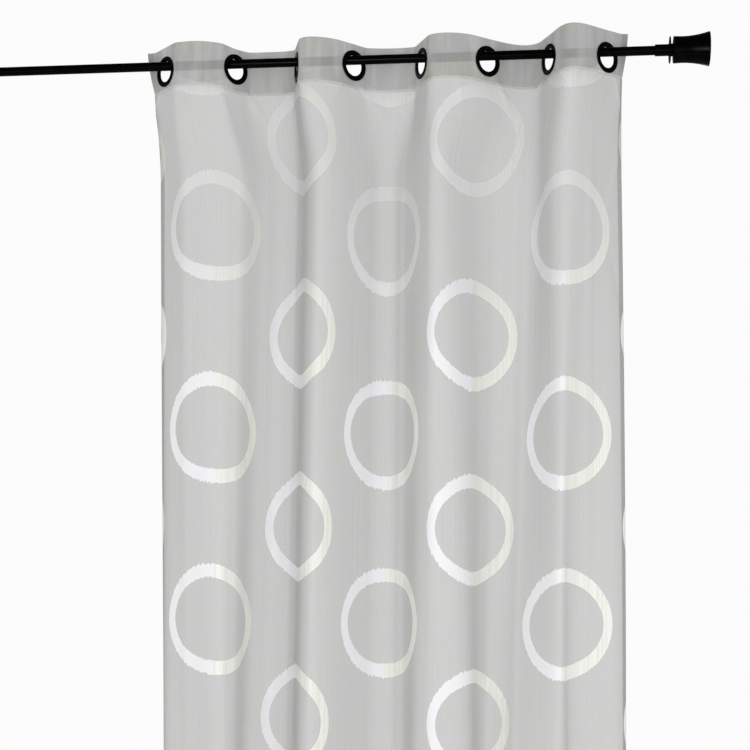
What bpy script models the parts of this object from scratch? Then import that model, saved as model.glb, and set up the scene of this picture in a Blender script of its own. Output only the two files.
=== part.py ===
"""Sheer eyelet curtain hanging in folds on a slim black rod with flared finials.

Frame: the origin is on the rod's axis, midway between the two middle eyelets. +X runs along the rod, to
the right as seen from the room, +Y away from the room and +Z up. All sizes are in metres.
"""
import math
from collections import namedtuple

import bmesh
import bpy
import numpy as np
from mathutils import Vector

# ---------------------------------------------------------------- driving dimensions
FIT = 0.0003                 # gap between pieces that touch on the real object
MERGE = 0.00001              # points closer than this are one

PANEL_DROP = 2.40            # finished height of the panel
EYELET_PITCH = 0.183         # between eyelet centres, along the flat cloth
PANEL_MARGIN = 0.0595        # from the end eyelets to the panel's side edges
HEADER_RISE = 0.039          # top edge above the rod's axis
HEADER_HEIGHT = 0.098        # the stiff double band that holds the eyelets
FOOT_HEM = 0.080
SIDE_HEM = 0.013
HEM_STEP = 0.002             # width over which a hem thins down to the single cloth
CLOTH_THICK = 0.0012
HEM_THICK = 0.0020

EYELET_OUTER = 0.03375       # radii of the snap rings
EYELET_INNER = 0.02325
EYELET_WALL = 0.0013         # barrel wall, inside the cloth's hole
EYELET_HEIGHT = 0.0029       # from the cloth's middle to the top of the dome
EYELET_DROP = 0.0121         # eyelet centre below the rod's axis: the ring hangs on the rod
FLAT_HALF = 0.0352           # the cloth stays flat this far on each side of an eyelet's centre

ROD_RADIUS = 0.010
ROD_WALL = 0.0012
TURN_STEPS = 24              # sides of every turned piece
CRISP_DEGREES = 40           # a turned piece is shaded smooth up to this angle

RIGHT_END = 0.588            # where the ferrules start on the rod
LEFT_END = -0.905
FERRULE_LENGTH = 0.031       # a sleeve on the rod's end, closed by a wall with a stud
FERRULE_RADIUS = 0.0125
FERRULE_WALL = 0.004
STUD_RADIUS = 0.004
STUD_LENGTH = 0.018
DISC_RADIUS = 0.0286
DISC_THICK = 0.0020
BOSS_RADIUS = 0.0136         # the boss keeps a groove open between the disc and the trumpet
BOSS_LENGTH = 0.0063
TRUMPET_LENGTH = 0.0775
TRUMPET_FOOT = 0.0287        # radii along the trumpet: at its foot, its waist and its mouth
TRUMPET_WAIST = 0.0280
TRUMPET_MOUTH = 0.0368

# How the cloth crosses the rod's line at each eyelet: its place along the rod and its angle to it in
# plan, at the rod, just under the header, and low down. Odd eyelets bring the cloth towards the room.
Crossing = namedtuple("Crossing", "rod_x rod_deg body_x body_deg foot_x foot_deg")
CROSSINGS = [
    Crossing(-0.504, 43.6, -0.480, 45.2, -0.482, 24.4),
    Crossing(-0.344, 49.8, -0.313, 54.6, -0.335, 75.0),
    Crossing(-0.204, 74.5, -0.186, 70.6, -0.208, 74.2),
    Crossing(-0.076, 46.2, -0.068, 52.4, -0.086, 47.5),
    Crossing(0.076, 62.8, 0.060, 56.7, 0.051, 64.4),
    Crossing(0.222, 40.3, 0.188, 45.9, 0.191, 74.6),
    Crossing(0.358, 63.5, 0.344, 65.7, 0.326, 35.5),
    Crossing(0.484, 45.6, 0.474, 42.4, 0.477, -8.1),
]
# How far the two free side edges curl, in degrees, at the top edge and at the same three heights. Their
# top corners flare outwards.
EdgeCurl = namedtuple("EdgeCurl", "top_deg rod_deg body_deg foot_deg")
LEFT_CURL = EdgeCurl(70.0, -45.0, 9.7, -60.5)
RIGHT_CURL = EdgeCurl(-60.0, 37.0, 1.9, 76.2)
# Height of the three rows above: the header keeps its shape down to ROD_LEVEL.
ROD_LEVEL, BODY_LEVEL, FOOT_LEVEL = -0.052, -0.27, -1.45
BODY_FLAT_HALF = 0.012       # the flat stretch at a crossing once the cloth is free of the eyelets
# How far the top edge stands above its even height: at each eyelet, and midway from it to the next, or
# to the side edge.
TopRise = namedtuple("TopRise", "eyelet midway")
TOP_RISES = [
    TopRise(0.0035, 0.0060),
    TopRise(-0.0053, -0.0018),
    TopRise(0.0000, -0.0017),
    TopRise(-0.0035, -0.0053),
    TopRise(-0.0020, 0.0007),
    TopRise(-0.0010, -0.0012),
    TopRise(0.0018, 0.0077),
    TopRise(0.0089, 0.0098),
]
LEFT_CORNER_RISE, RIGHT_CORNER_RISE = 0.0, 0.0090

ARC_SPANS = 8                # mesh spans in the curved stretch between two eyelets
Row = namedtuple("Row", "depth spans")
# Mesh rows from the header's foot to the foot hem: the depth reached, and the spans that lead there.
BODY_ROWS = [Row(0.309, 4), Row(1.489, 5), Row(PANEL_DROP - FOOT_HEM, 3)]

PANEL_WIDTH = 2 * PANEL_MARGIN + (len(CROSSINGS) - 1) * EYELET_PITCH


# ---------------------------------------------------------------- scene helpers
def clear_scene():
    for old in list(bpy.data.objects):
        bpy.data.objects.remove(old, do_unlink=True)


def new_collection(name):
    collection = bpy.data.collections.new(name)
    bpy.context.scene.collection.children.link(collection)
    return collection


def add_object(name, mesh, collection):
    item = bpy.data.objects.new(name, mesh)
    collection.objects.link(item)
    return item


def make_material(name, colour, roughness, metallic=0.0, alpha=1.0):
    material = bpy.data.materials.new(name)
    material.use_nodes = True
    shader = material.node_tree.nodes["Principled BSDF"]
    shader.inputs["Base Color"].default_value = (*colour, 1.0)
    shader.inputs["Roughness"].default_value = roughness
    shader.inputs["Metallic"].default_value = metallic
    shader.inputs["Alpha"].default_value = alpha
    return material


# ---------------------------------------------------------------- how the cloth hangs
def smoothstep(t):
    return t * t * (3 - 2 * t)


def crossings_at(height):
    """Places, turned angles and edge curls at one height: blends of the tables' levels."""
    table = np.array(CROSSINGS).reshape(-1, 3, 2)
    top_curls, *lower_curls = np.array([LEFT_CURL, RIGHT_CURL]).T
    if height > BODY_LEVEL:
        t = smoothstep(np.clip((ROD_LEVEL - height) / (ROD_LEVEL - BODY_LEVEL), 0, 1))
        upper, lower = 0, 1
    else:
        t = np.clip((BODY_LEVEL - height) / (BODY_LEVEL - FOOT_LEVEL), 0, 1.3)
        upper, lower = 1, 2
    mixed = table[:, upper] * (1 - t) + table[:, lower] * t
    curls = lower_curls[upper] * (1 - t) + lower_curls[lower] * t
    flare = np.clip((height - ROD_LEVEL) / (HEADER_RISE - ROD_LEVEL), 0, 1)
    curls = curls * (1 - flare) + top_curls * flare
    toward_room = np.where(np.arange(len(table)) % 2 == 0, -1, 1)
    return mixed[:, 0], np.radians(toward_room * mixed[:, 1]), np.radians(curls)


def flat_half_at(height):
    """The rigid rings hold the cloth flat beside them; further down it rounds off."""
    freed = np.clip((ROD_LEVEL - height) / (ROD_LEVEL - BODY_LEVEL), 0, 1)
    return FLAT_HALF + (BODY_FLAT_HALF - FLAT_HALF) * freed


def fold_curve(start, start_way, end, end_way, length, spans):
    """A fold between two crossings: a cubic that leaves and arrives in the given directions, pulled out
    until it is as long as the cloth it is made of, then read at even steps of cloth."""
    t = np.linspace(0, 1, 33)[:, None]
    leave, arrive = 2 * t**3 - 3 * t**2 + 1, 3 * t**2 - 2 * t**3
    leave_pull, arrive_pull = t**3 - 2 * t**2 + t, t**3 - t**2
    low, high = 0.0, 1.0
    for _ in range(30):
        pull = (low + high) / 2
        points = leave * start + arrive * end + pull * (leave_pull * start_way + arrive_pull * end_way)
        steps = np.linalg.norm(np.diff(points, axis=0), axis=1)
        low, high = (low, pull) if steps.sum() > length else (pull, high)
    along = np.concatenate([[0], np.cumsum(steps)]) / steps.sum()
    wanted = np.linspace(0, 1, spans + 1)
    return np.column_stack([np.interp(wanted, along, points[:, 0]), np.interp(wanted, along, points[:, 1])])


def margin_curve(start, way_angle, curl, side, distances):
    """The free strip past an end eyelet: an arc that turns by the curl over its own width."""
    angles = way_angle + curl * (distances[1:] + distances[:-1]) / (2 * distances[-1])
    lengths = np.diff(distances)
    moves = np.column_stack([np.cos(angles) * lengths, np.sin(angles) * lengths]) * side
    return start + np.cumsum(moves, axis=0)


def margin_distances(flat):
    """Columns of the free strip, out from the flat stretch: the hem's inner step, its line, the edge."""
    free = PANEL_MARGIN - flat
    return np.array([0, free - SIDE_HEM - HEM_STEP, free - SIDE_HEM, free])


def plan_row(height):
    """The cloth's middle line in plan at one height, from its left edge to its right edge."""
    places, angles, curls = crossings_at(height)
    flat = flat_half_at(height)
    ways = np.column_stack([np.cos(angles), np.sin(angles)])
    centres = np.column_stack([places, np.zeros(len(places))])
    starts = centres - flat * ways
    ends = centres + flat * ways
    distances = margin_distances(flat)
    loose = EYELET_PITCH - 2 * flat
    points = [margin_curve(starts[0], angles[0], curls[0], -1, distances)[::-1]]
    for i, centre in enumerate(centres):
        points.append(np.array([starts[i], centre, ends[i]]))
        if i + 1 < len(centres):
            fold = fold_curve(ends[i], ways[i], starts[i + 1], ways[i + 1], loose, ARC_SPANS)
            points.append(fold[1:-1])
    points.append(margin_curve(ends[-1], angles[-1], curls[1], 1, distances))
    return np.concatenate(points)


def across_row(height):
    """Where the same columns lie on the flat cloth, measured from its left edge."""
    flat = flat_half_at(height)
    strip = PANEL_MARGIN - flat - margin_distances(flat)[:0:-1]
    places = [strip]
    for i in range(len(CROSSINGS)):
        centre = PANEL_MARGIN + i * EYELET_PITCH
        places.append(np.array([centre - flat, centre]))
        if i + 1 < len(CROSSINGS):
            places.append(np.linspace(centre + flat, centre + EYELET_PITCH - flat, ARC_SPANS + 1)[:-1])
    places.append(np.array([centre + flat]))
    places.append(PANEL_WIDTH - strip[::-1])
    return np.concatenate(places)


def smooth_through(known, values, wanted):
    """A curve through the known values, whose slope at each of them is that between its two neighbours."""
    slopes = np.gradient(values, known)
    i = np.clip(np.searchsorted(known, wanted, side="right") - 1, 0, len(known) - 2)
    span = known[i + 1] - known[i]
    t = (wanted - known[i]) / span
    start = (2 * t**3 - 3 * t**2 + 1) * values[i] + (t**3 - 2 * t**2 + t) * span * slopes[i]
    return start + (3 * t**2 - 2 * t**3) * values[i + 1] + (t**3 - t**2) * span * slopes[i + 1]


def lift_at(across):
    """How far each thread stands above the even top edge: a smooth curve through the risen places."""
    steps = [EYELET_PITCH / 2] * (2 * len(TOP_RISES) - 2) + [PANEL_MARGIN / 2, PANEL_MARGIN / 2]
    known = np.cumsum([0, PANEL_MARGIN, *steps])
    rises = np.array([LEFT_CORNER_RISE, *np.array(TOP_RISES).ravel(), RIGHT_CORNER_RISE])
    return smooth_through(known, rises, across)


def cloth_rows():
    """Distances down the panel at which its mesh has a row."""
    rows = [0.0, HEADER_HEIGHT / 2, HEADER_HEIGHT - HEM_STEP, HEADER_HEIGHT]
    for row in BODY_ROWS:
        rows.extend(np.linspace(rows[-1], row.depth, row.spans + 1)[1:])
    rows.extend([PANEL_DROP - FOOT_HEM + HEM_STEP, PANEL_DROP])
    return np.array(rows)


def make_cloth(collection, material):
    rows = cloth_rows()
    heights = HEADER_RISE - rows
    plans = np.array([plan_row(height) for height in heights])
    lifts = np.array([lift_at(across_row(height)) for height in heights])
    columns = plans.shape[1]

    sheet = bmesh.new()
    bmesh.ops.create_grid(sheet, x_segments=columns - 1, y_segments=len(rows) - 1, size=0.5)
    sheet.verts.ensure_lookup_table()
    for index, vert in enumerate(sheet.verts):
        row, column = divmod(index, columns)
        x, y = plans[row, column]
        vert.co = (x, y, heights[row] + lifts[row, column])
    mesh = bpy.data.meshes.new("cloth")
    sheet.to_mesh(mesh)
    sheet.free()

    cloth = add_object("cloth", mesh, collection)
    hems = cloth.vertex_groups.new(name="hems")
    doubled_rows = (rows <= HEADER_HEIGHT - HEM_STEP) | (rows > PANEL_DROP - FOOT_HEM)
    for index in range(len(rows) * columns):
        row, column = divmod(index, columns)
        if doubled_rows[row] or min(column, columns - 1 - column) <= 1:
            hems.add([index], 1.0, "REPLACE")

    thicken = cloth.modifiers.new("cloth_thickness", "SOLIDIFY")
    thicken.thickness = HEM_THICK
    thicken.offset = 0
    thicken.use_even_offset = True
    thicken.vertex_group = "hems"
    thicken.thickness_vertex_group = CLOTH_THICK / HEM_THICK
    mesh.shade_smooth()
    mesh.materials.append(material)
    return cloth


# ---------------------------------------------------------------- turned pieces
def turned_mesh(name, profile, material):
    """A turned shape. The profile, as radius and height, runs down the outer side; off the axis it closes
    on itself, and on the axis it starts and ends there."""
    wire = bmesh.new()
    corners = [wire.verts.new((radius, 0, height)) for radius, height in profile]
    for one, other in zip(corners, corners[1:]):
        wire.edges.new((one, other))
    if profile[0][0] > 0:
        wire.edges.new((corners[-1], corners[0]))
    outline = bpy.data.meshes.new(name + "_outline")
    wire.to_mesh(outline)
    wire.free()

    blank = add_object(name + "_blank", outline, bpy.context.scene.collection)
    lathe = blank.modifiers.new("lathe", "SCREW")
    lathe.steps = TURN_STEPS
    lathe.render_steps = TURN_STEPS
    lathe.use_merge_vertices = True
    lathe.merge_threshold = MERGE
    mesh = bpy.data.meshes.new_from_object(blank.evaluated_get(bpy.context.evaluated_depsgraph_get()))
    bpy.data.objects.remove(blank, do_unlink=True)
    mesh.name = name
    mesh.materials.append(material)
    mesh.shade_smooth()
    mesh.set_sharp_from_angle(angle=math.radians(CRISP_DEGREES))
    return mesh


def aim(item, place, way):
    """Put a piece's foot at a place, with its own axis along the given way."""
    item.location = place
    item.rotation_mode = "QUATERNION"
    item.rotation_quaternion = Vector(way).to_track_quat("Z", "Y")


def eyelet_profile():
    """One half of a snap eyelet: a domed face over the cloth and a barrel into its hole."""
    seat = HEM_THICK / 2 + FIT
    barrel = EYELET_INNER + EYELET_WALL
    middle = FIT / 2
    return [
        (EYELET_INNER + 0.0040, EYELET_HEIGHT),
        (EYELET_OUTER - 0.0030, EYELET_HEIGHT - 0.0004),
        (EYELET_OUTER, seat),
        (barrel, seat),
        (barrel, middle),
        (EYELET_INNER, middle),
        (EYELET_INNER + 0.0005, seat + 0.0004),
    ]


def cut_hole(cloth, name, place, way, cutters):
    """A round hole through the cloth that clears the eyelet's barrel."""
    radius = EYELET_INNER + EYELET_WALL + 2 * FIT
    bpy.ops.mesh.primitive_cylinder_add(vertices=TURN_STEPS, radius=radius, depth=4 * EYELET_HEIGHT)
    hole = bpy.context.object
    hole.name = name
    for holder in list(hole.users_collection):
        holder.objects.unlink(hole)
    cutters.objects.link(hole)
    aim(hole, place, way)
    hole.hide_render = True
    hole.display_type = "WIRE"
    cut = cloth.modifiers.new(name, "BOOLEAN")
    cut.operation = "DIFFERENCE"
    cut.solver = "EXACT"
    cut.object = hole


def make_eyelets(collection, cutters, cloth, material):
    """Snap eyelets, each a front and a back ring of one shape, and the holes in the cloth they line."""
    ring_mesh = turned_mesh("eyelet_ring", eyelet_profile(), material)
    places, angles, _ = crossings_at(0)
    for number, (x, angle) in enumerate(zip(places, angles), start=1):
        centre = (x, 0, -EYELET_DROP)
        to_room = Vector((math.sin(angle), -math.cos(angle), 0))
        for side, way in (("front", to_room), ("back", -to_room)):
            ring = add_object(f"eyelet_{number}_{side}", ring_mesh, collection)
            aim(ring, centre, way)
        cut_hole(cloth, f"hole_{number}", centre, to_room, cutters)


def make_rod(collection, material):
    """A plain tube that reaches into both ferrules, up to their end walls."""
    inside = FERRULE_LENGTH - FERRULE_WALL
    left = LEFT_END - inside
    length = RIGHT_END + inside - left
    bore = ROD_RADIUS - ROD_WALL
    profile = [(ROD_RADIUS, length), (ROD_RADIUS, 0), (bore, 0), (bore, length)]
    rod = add_object("rod", turned_mesh("rod", profile, material), collection)
    aim(rod, (left, 0, 0), (1, 0, 0))


def ferrule_profile():
    """A sleeve over the rod's end, its end wall with a low collar, and the stud that holds the finial."""
    bore = ROD_RADIUS + FIT
    floor = FERRULE_LENGTH - FERRULE_WALL + FIT
    collar, chamfer = 0.0015, 0.0010
    return [
        (0, FERRULE_LENGTH + STUD_LENGTH),
        (STUD_RADIUS, FERRULE_LENGTH + STUD_LENGTH),
        (STUD_RADIUS, FERRULE_LENGTH),
        (BOSS_RADIUS, FERRULE_LENGTH),
        (BOSS_RADIUS, FERRULE_LENGTH - collar),
        (FERRULE_RADIUS, FERRULE_LENGTH - collar - chamfer),
        (FERRULE_RADIUS, chamfer),
        (FERRULE_RADIUS - chamfer, 0),
        (bore, 0),
        (bore, floor),
        (0, floor),
    ]


def disc_profile():
    """A thin plate, clamped on the stud between the ferrule and the finial's boss."""
    bore = STUD_RADIUS + FIT
    return [(DISC_RADIUS, DISC_THICK), (DISC_RADIUS, 0), (bore, 0), (bore, DISC_THICK)]


def finial_profile():
    """A trumpet on a boss: nearly straight from its foot past the waist, then a flare that grows with the
    square of the distance, to a rounded lip and a shallow dish in its mouth."""
    waist_at, edge, lip, dish = 0.018, 0.0006, 0.0016, 0.003
    bore, bore_depth = STUD_RADIUS + FIT, STUD_LENGTH - DISC_THICK + FIT
    mouth = BOSS_LENGTH + TRUMPET_LENGTH
    waist = BOSS_LENGTH + waist_at
    flare = []
    for t in np.linspace(1, 0, 6):
        radius = TRUMPET_WAIST + (TRUMPET_MOUTH - TRUMPET_WAIST) * t**2
        flare.append((radius, waist + (mouth - lip / 2 - waist) * t))
    return [
        (0, mouth - dish),
        (TRUMPET_MOUTH - 2 * dish, mouth - dish),
        (TRUMPET_MOUTH - lip, mouth),
        (TRUMPET_MOUTH - lip / 4, mouth),
        *flare,
        (TRUMPET_FOOT, BOSS_LENGTH + edge),
        (TRUMPET_FOOT - edge, BOSS_LENGTH),
        (BOSS_RADIUS, BOSS_LENGTH),
        (BOSS_RADIUS, 0),
        (bore, 0),
        (bore, bore_depth),
        (0, bore_depth),
    ]


def make_rod_ends(collection, metal):
    """The same ferrule, disc and finial on both ends of the rod, pointing outwards."""
    disc_at = FERRULE_LENGTH + FIT
    pieces = (
        ("ferrule", turned_mesh("ferrule", ferrule_profile(), metal), 0),
        ("disc", turned_mesh("disc", disc_profile(), metal), disc_at),
        ("finial", turned_mesh("finial", finial_profile(), metal), disc_at + DISC_THICK + FIT),
    )
    for side, end, way in (("right", RIGHT_END, 1), ("left", LEFT_END, -1)):
        for name, mesh, distance in pieces:
            piece = add_object(f"{name}_{side}", mesh, collection)
            aim(piece, (end + way * distance, 0, 0), (way, 0, 0))


def build():
    clear_scene()
    parts = new_collection("sheer_eyelet_curtain_on_rod")
    cutters = new_collection("cutters")
    voile = make_material("pearl_voile", (0.80, 0.81, 0.79), 0.75, alpha=0.6)
    enamel = make_material("black_eyelet", (0.012, 0.012, 0.013), 0.30)
    metal = make_material("black_rod_metal", (0.010, 0.010, 0.011), 0.35, metallic=0.6)
    cloth = make_cloth(parts, voile)
    make_eyelets(parts, cutters, cloth, enamel)
    make_rod(parts, metal)
    make_rod_ends(parts, metal)


build()
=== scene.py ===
# %% [markdown]
# # A sheer eyelet curtain on a slim black rod
#
# The real thing is one panel of crisp, organza-like voile with large satin rings woven into it. Eight black
# snap eyelets carry it on a black metal rod, which ends in a trumpet-shaped finial on each side.
#
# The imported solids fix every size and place. This script lays fine surfaces over them: the cloth as one thin
# sheet with its hems folded over, the stitches, the eyelets, the rod with its ends, and a finish for each.

import math
from types import SimpleNamespace

import bmesh
import bpy
import numpy as np
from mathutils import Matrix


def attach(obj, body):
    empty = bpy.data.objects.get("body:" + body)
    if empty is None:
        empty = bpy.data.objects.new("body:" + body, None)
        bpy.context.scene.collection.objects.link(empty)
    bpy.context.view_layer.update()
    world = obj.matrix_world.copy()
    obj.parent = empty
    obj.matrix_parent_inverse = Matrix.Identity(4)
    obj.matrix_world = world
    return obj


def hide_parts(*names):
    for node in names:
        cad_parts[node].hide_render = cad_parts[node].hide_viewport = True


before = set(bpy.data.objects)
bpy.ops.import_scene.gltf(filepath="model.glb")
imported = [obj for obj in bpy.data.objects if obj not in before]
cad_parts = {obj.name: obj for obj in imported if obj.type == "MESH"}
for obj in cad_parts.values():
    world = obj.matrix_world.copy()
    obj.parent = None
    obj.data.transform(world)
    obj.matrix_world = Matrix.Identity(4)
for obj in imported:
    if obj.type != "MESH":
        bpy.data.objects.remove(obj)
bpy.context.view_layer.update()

# %% [markdown]
# ## Camera
#
# The photograph looks up at the rod from about eye height, 3.5 m away, yet its verticals stay vertical. So
# the camera is level and frames the rod by lens shift, as a view camera does. Tilting it would make the side
# edges lean.

# %% Camera at the photograph's angle
CAMERA_PLACE = (0.333, -3.466, -1.097)
CAMERA_TURN = math.radians(5.95)  # to the left
SENSOR = 36.0  # millimetres, across the picture
FOCAL_LENGTH = 74.98
RISE = 0.2352  # lens shift, as a share of the picture's width


def into_scene(name, data):
    """A new object with this data, linked to the scene."""
    thing = bpy.data.objects.new(name, data)
    bpy.context.scene.collection.objects.link(thing)
    return thing


camera_data = bpy.data.cameras.new("photo_camera")
camera_data.sensor_width = SENSOR
camera_data.lens = FOCAL_LENGTH
camera_data.shift_y = RISE
camera = into_scene("photo_camera", camera_data)
camera.location = CAMERA_PLACE
camera.rotation_euler = (math.pi / 2, 0, CAMERA_TURN)
bpy.context.scene.camera = camera
print("camera at", CAMERA_PLACE, "lens", FOCAL_LENGTH, "mm")

# %% [markdown]
# ## Small tools for surfaces
#
# Every new piece is a grid of points worked out with numpy. One helper makes a grid's faces, one fills a
# Blender mesh, and one joins the points that meet at a pole and turns the faces of a closed shape outwards.

# %% Mesh helpers
def grid_faces(rows, columns, wrap_rows=False, wrap_columns=False):
    """Four corners of each cell of a grid whose points are numbered row by row. A wrapped side joins the
    last row or column to the first."""
    row = np.arange(rows if wrap_rows else rows - 1)
    column = np.arange(columns if wrap_columns else columns - 1)
    row, column = np.meshgrid(row, column, indexing="ij")
    below, beside = (row + 1) % rows, (column + 1) % columns
    corners = [(row, column), (below, column), (below, beside), (row, beside)]
    return np.stack([r * columns + c for r, c in corners], axis=-1).reshape(-1, 4)


def circle(steps, one, other):
    """Places evenly round a circle: the angle's cosine times one direction plus its sine times another."""
    angle = np.linspace(0, 2 * math.pi, steps, endpoint=False)[:, None]
    return np.cos(angle) * one + np.sin(angle) * other


def unit(vectors):
    """Each vector over its length."""
    return vectors / np.linalg.norm(vectors, axis=-1, keepdims=True)


def fill_mesh(name, points, faces, uv=None):
    """A mesh of the points that the faces use. uv gives each point's place on the flat cloth, in metres."""
    used, faces = np.unique(faces, return_inverse=True)
    faces = faces.reshape(-1, 4)
    mesh = bpy.data.meshes.new(name)
    mesh.from_pydata(points.reshape(-1, 3)[used].tolist(), [], faces.tolist())
    if uv is not None:
        layer = mesh.uv_layers.new(name="flat_cloth")
        layer.data.foreach_set("uv", uv.reshape(-1, 2)[used][faces.ravel()].ravel())
    mesh.update()
    return mesh


def close_up(mesh, is_shell=True):
    """Join points that lie on each other, such as those at a pole, and turn a shell's faces outwards."""
    work = bmesh.new()
    work.from_mesh(mesh)
    bmesh.ops.remove_doubles(work, verts=work.verts, dist=1e-6)
    if is_shell:
        bmesh.ops.recalc_face_normals(work, faces=work.faces)
    work.to_mesh(mesh)
    work.free()
    return mesh


def add_piece(name, mesh, material, stands_for=()):
    """Put a mesh in the scene as a smooth piece that rides with the solids."""
    piece = into_scene(name, mesh)
    mesh.materials.append(material)
    mesh.shade_smooth()
    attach(piece, "root")
    if stands_for:
        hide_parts(*stands_for)
    print(f"{name}: {len(mesh.vertices)} points, {len(mesh.polygons)} faces")
    return piece


# %% [markdown]
# ## Small tools for materials
#
# A procedural material is a sum written in nodes, and these helpers let it be written as one. A value stands
# for what a node puts out, and to add or multiply two values is to place the math node that does so. An
# effect that several finishes share becomes a node group with named inputs and outputs.

# %% Values and nodes
def math_method(operation, turned=False):
    """A method that places a math node after a value and another, or after the two turned round."""
    return lambda self, other: calc(operation, *((other, self) if turned else (self, other)))


class Value:
    """What a node puts out. Sums, products and powers of values are math nodes in the values' own tree."""

    def __init__(self, socket):
        self.socket = socket

    __add__, __mul__, __pow__ = math_method("ADD"), math_method("MULTIPLY"), math_method("POWER")
    __sub__, __rsub__ = math_method("SUBTRACT"), math_method("SUBTRACT", turned=True)
    __truediv__, __rtruediv__ = math_method("DIVIDE"), math_method("DIVIDE", turned=True)


def feed(target, value):
    """Link a value to a socket, or set a plain number or colour on it."""
    if isinstance(value, Value):
        target.id_data.links.new(value.socket, target)
    else:
        target.default_value = (*value, 1) if target.type == "RGBA" else value


def new_node(kind, *values, tree=None, **settings):
    """A node in the tree that the values come from, or in the one given. It is set as told, and the values
    are fed to its first inputs in order."""
    tree = tree or next(value.socket.id_data for value in values if isinstance(value, Value))
    node = tree.nodes.new(kind)
    for name, setting in settings.items():
        setattr(node, name, setting)
    for target, value in zip(node.inputs, values):
        feed(target, value)
    return node


def outputs(node):
    """What a node puts out, by name: Right Half is found as right_half."""
    named = {socket.name.lower().replace(" ", "_"): Value(socket) for socket in node.outputs if socket.name}
    return SimpleNamespace(**named)


# %% Helpers that place one node each
def result(kind, *values, **settings):
    """What a new node puts out first."""
    return Value(new_node(kind, *values, **settings).outputs[0])


def calc(operation, *operands):
    """One math node."""
    return result("ShaderNodeMath", *operands, operation=operation)


def span(value, from_low, from_high, to_low=0.0, to_high=1.0):
    """Read a value on one scale and give it on another, eased at both ends."""
    scales = (from_low, from_high, to_low, to_high)
    return result("ShaderNodeMapRange", value, *scales, interpolation_type="SMOOTHSTEP")


def blend_colours(share, low, high):
    """low where share is 0, high where it is 1."""
    node = new_node("ShaderNodeMix", share, data_type="RGBA")
    feed(node.inputs[6], low)
    feed(node.inputs[7], high)
    return Value(node.outputs[2])


def place_vector(x, y, z=0.0):
    """Three values as one vector."""
    return result("ShaderNodeCombineXYZ", x, y, z)


def cloudy(vector, scale=1.0, detail=2.0):
    """Soft noise between 0 and 1, in three dimensions: the input for a fourth stays 0."""
    return result("ShaderNodeTexNoise", vector, 0.0, scale, detail)


def bump(height, distance, strength=1.0):
    """Turn a height between 0 and 1 into a tilted normal. distance is the relief in metres."""
    node = new_node("ShaderNodeBump", strength, distance, tree=height.socket.id_data)
    feed(node.inputs["Height"], height)
    return Value(node.outputs[0])


# %% Helpers for groups and materials
def new_group(name, inputs, results):
    """An empty node group. inputs gives each number's usual value, or None for a vector. Returns the group,
    its inputs' values by name, and the sockets for its results."""
    group = bpy.data.node_groups.new(name, "ShaderNodeTree")
    for label, value in inputs.items():
        kind = "NodeSocketVector" if value is None else "NodeSocketFloat"
        socket = group.interface.new_socket(name=label, in_out="INPUT", socket_type=kind)
        if value is not None:
            socket.default_value = value
    for label in results:
        group.interface.new_socket(name=label, in_out="OUTPUT", socket_type="NodeSocketFloat")
    return group, outputs(group.nodes.new("NodeGroupInput")), group.nodes.new("NodeGroupOutput").inputs


def place_group(group, *values):
    """Use a group, with these values as its first inputs, and give its results by name."""
    return outputs(new_node("ShaderNodeGroup", *values, node_tree=group))


def new_material(name, **settings):
    """A Principled material, its node tree and its shader's inputs. Settings that are the same all over the
    piece go straight on those."""
    material = bpy.data.materials.new(name)
    material.use_nodes = True
    shader = material.node_tree.nodes["Principled BSDF"]
    for label, value in settings.items():
        shader.inputs[label.replace("_", " ")].default_value = value
    return material, material.node_tree, shader.inputs


# %% [markdown]
# ## Floor and light
#
# A sheer cloth shows itself against light: on a bright ground it is a soft grey, and each further layer is a
# little darker. So the surroundings are bright to the eye but dimmer as a lamp. A large soft key light from
# the front right models the folds, with a weaker fill from the left and a broad lamp behind the camera. One
# lamp shows only in glosses and draws the fine line along the black rod, and one behind the curtain lights
# it for a look from the other side.

# %% Floor
FLOOR_LEVEL, FLOOR_RADIUS, FLOOR_STEPS = -2.405, 2.6, 96

floor_material, tree, shader = new_material("pale_floor", Roughness=0.7)
clouds = cloudy(outputs(new_node("ShaderNodeTexCoord", tree=tree)).object, 3.0)
feed(shader["Base Color"], blend_colours(clouds, (0.74, 0.74, 0.73), (0.8, 0.8, 0.79)))

reach = np.array([0.0, 0.5, 1.0]) * FLOOR_RADIUS
rim = circle(FLOOR_STEPS, (1, 0, 0), (0, 1, 0))
floor_points = reach[:, None, None] * rim + np.array([0, 0, FLOOR_LEVEL])
facing_up = grid_faces(len(reach), FLOOR_STEPS, wrap_columns=True)[:, ::-1]
floor_mesh = close_up(fill_mesh("floor", floor_points, facing_up), is_shell=False)
floor_mesh.materials.append(floor_material)
into_scene("floor", floor_mesh)
print("floor at", FLOOR_LEVEL)

# %% Surroundings and lamps
# How bright the surroundings look, how much light they give, and how bright a gloss mirrors them.
SEEN, LIGHT, MIRRORED = 0.97, 0.76, 0.14

world = bpy.data.worlds.new("pale_studio")
bpy.context.scene.world = world
world.use_nodes = True
tree = world.node_tree
background = tree.nodes["Background"].inputs
rays = outputs(new_node("ShaderNodeLightPath", tree=tree))
brightness = span(rays.is_glossy_ray, 0.0, 1.0, LIGHT, MIRRORED)
feed(background["Strength"], span(rays.is_camera_ray, 0.0, 1.0, brightness, SEEN))
feed(background["Color"], (1.0, 1.0, 1.0))

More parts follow.
